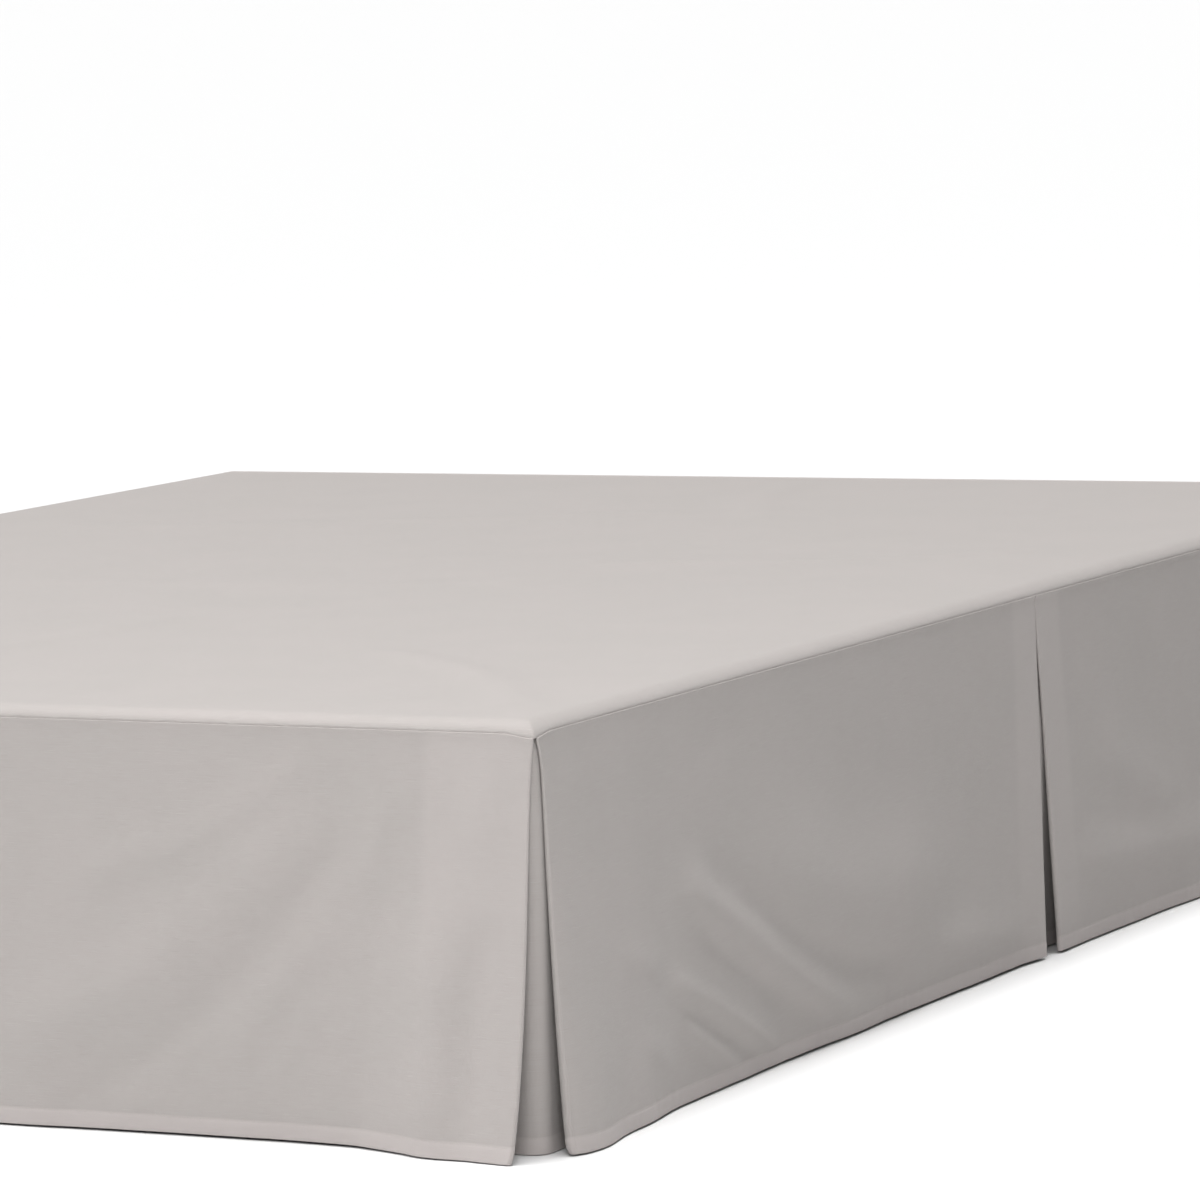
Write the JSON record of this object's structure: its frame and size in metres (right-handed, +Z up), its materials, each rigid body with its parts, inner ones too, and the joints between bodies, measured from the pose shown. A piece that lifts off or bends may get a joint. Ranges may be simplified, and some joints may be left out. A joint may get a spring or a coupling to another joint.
{
  "type": "bed skirt on a bed base",
  "caption": "Tailored fabric bed skirt: plain drop panels, split at the foot corners and pleated mid-side, hang from a deck over a low upholstered bed base on legs, open at the head",
  "frame": {"origin": "on the floor, under the middle of the whole part", "axes": "+Z up, +Y from the foot to the head of the bed, +X to the right of someone who stands at the foot and looks at the head"},
  "size_m": [1.5688, 2.0621, 0.3675],
  "materials": {
    "skirt_cloth": "matte slubbed plain weave, light warm grey",
    "base_ticking": "matte plain off-white ticking",
    "leg_wood": "dark stained, satin"
  },
  "bodies": {
    "root": {"deck": "skirt_cloth", "foot_panel": "skirt_cloth", "side_front_right": "skirt_cloth", "side_rear_right": "skirt_cloth", "side_front_left": "skirt_cloth", "side_rear_left": "skirt_cloth", "corner_insert_right": "skirt_cloth", "corner_insert_left": "skirt_cloth", "pleat_insert_right": "skirt_cloth", "pleat_insert_left": "skirt_cloth", "bed_base": "base_ticking", "leg_foot_left": "leg_wood", "leg_foot_right": "leg_wood", "leg_middle_left": "leg_wood", "leg_middle_right": "leg_wood", "leg_head_left": "leg_wood", "leg_head_right": "leg_wood"}
  },
  "joints": []
}
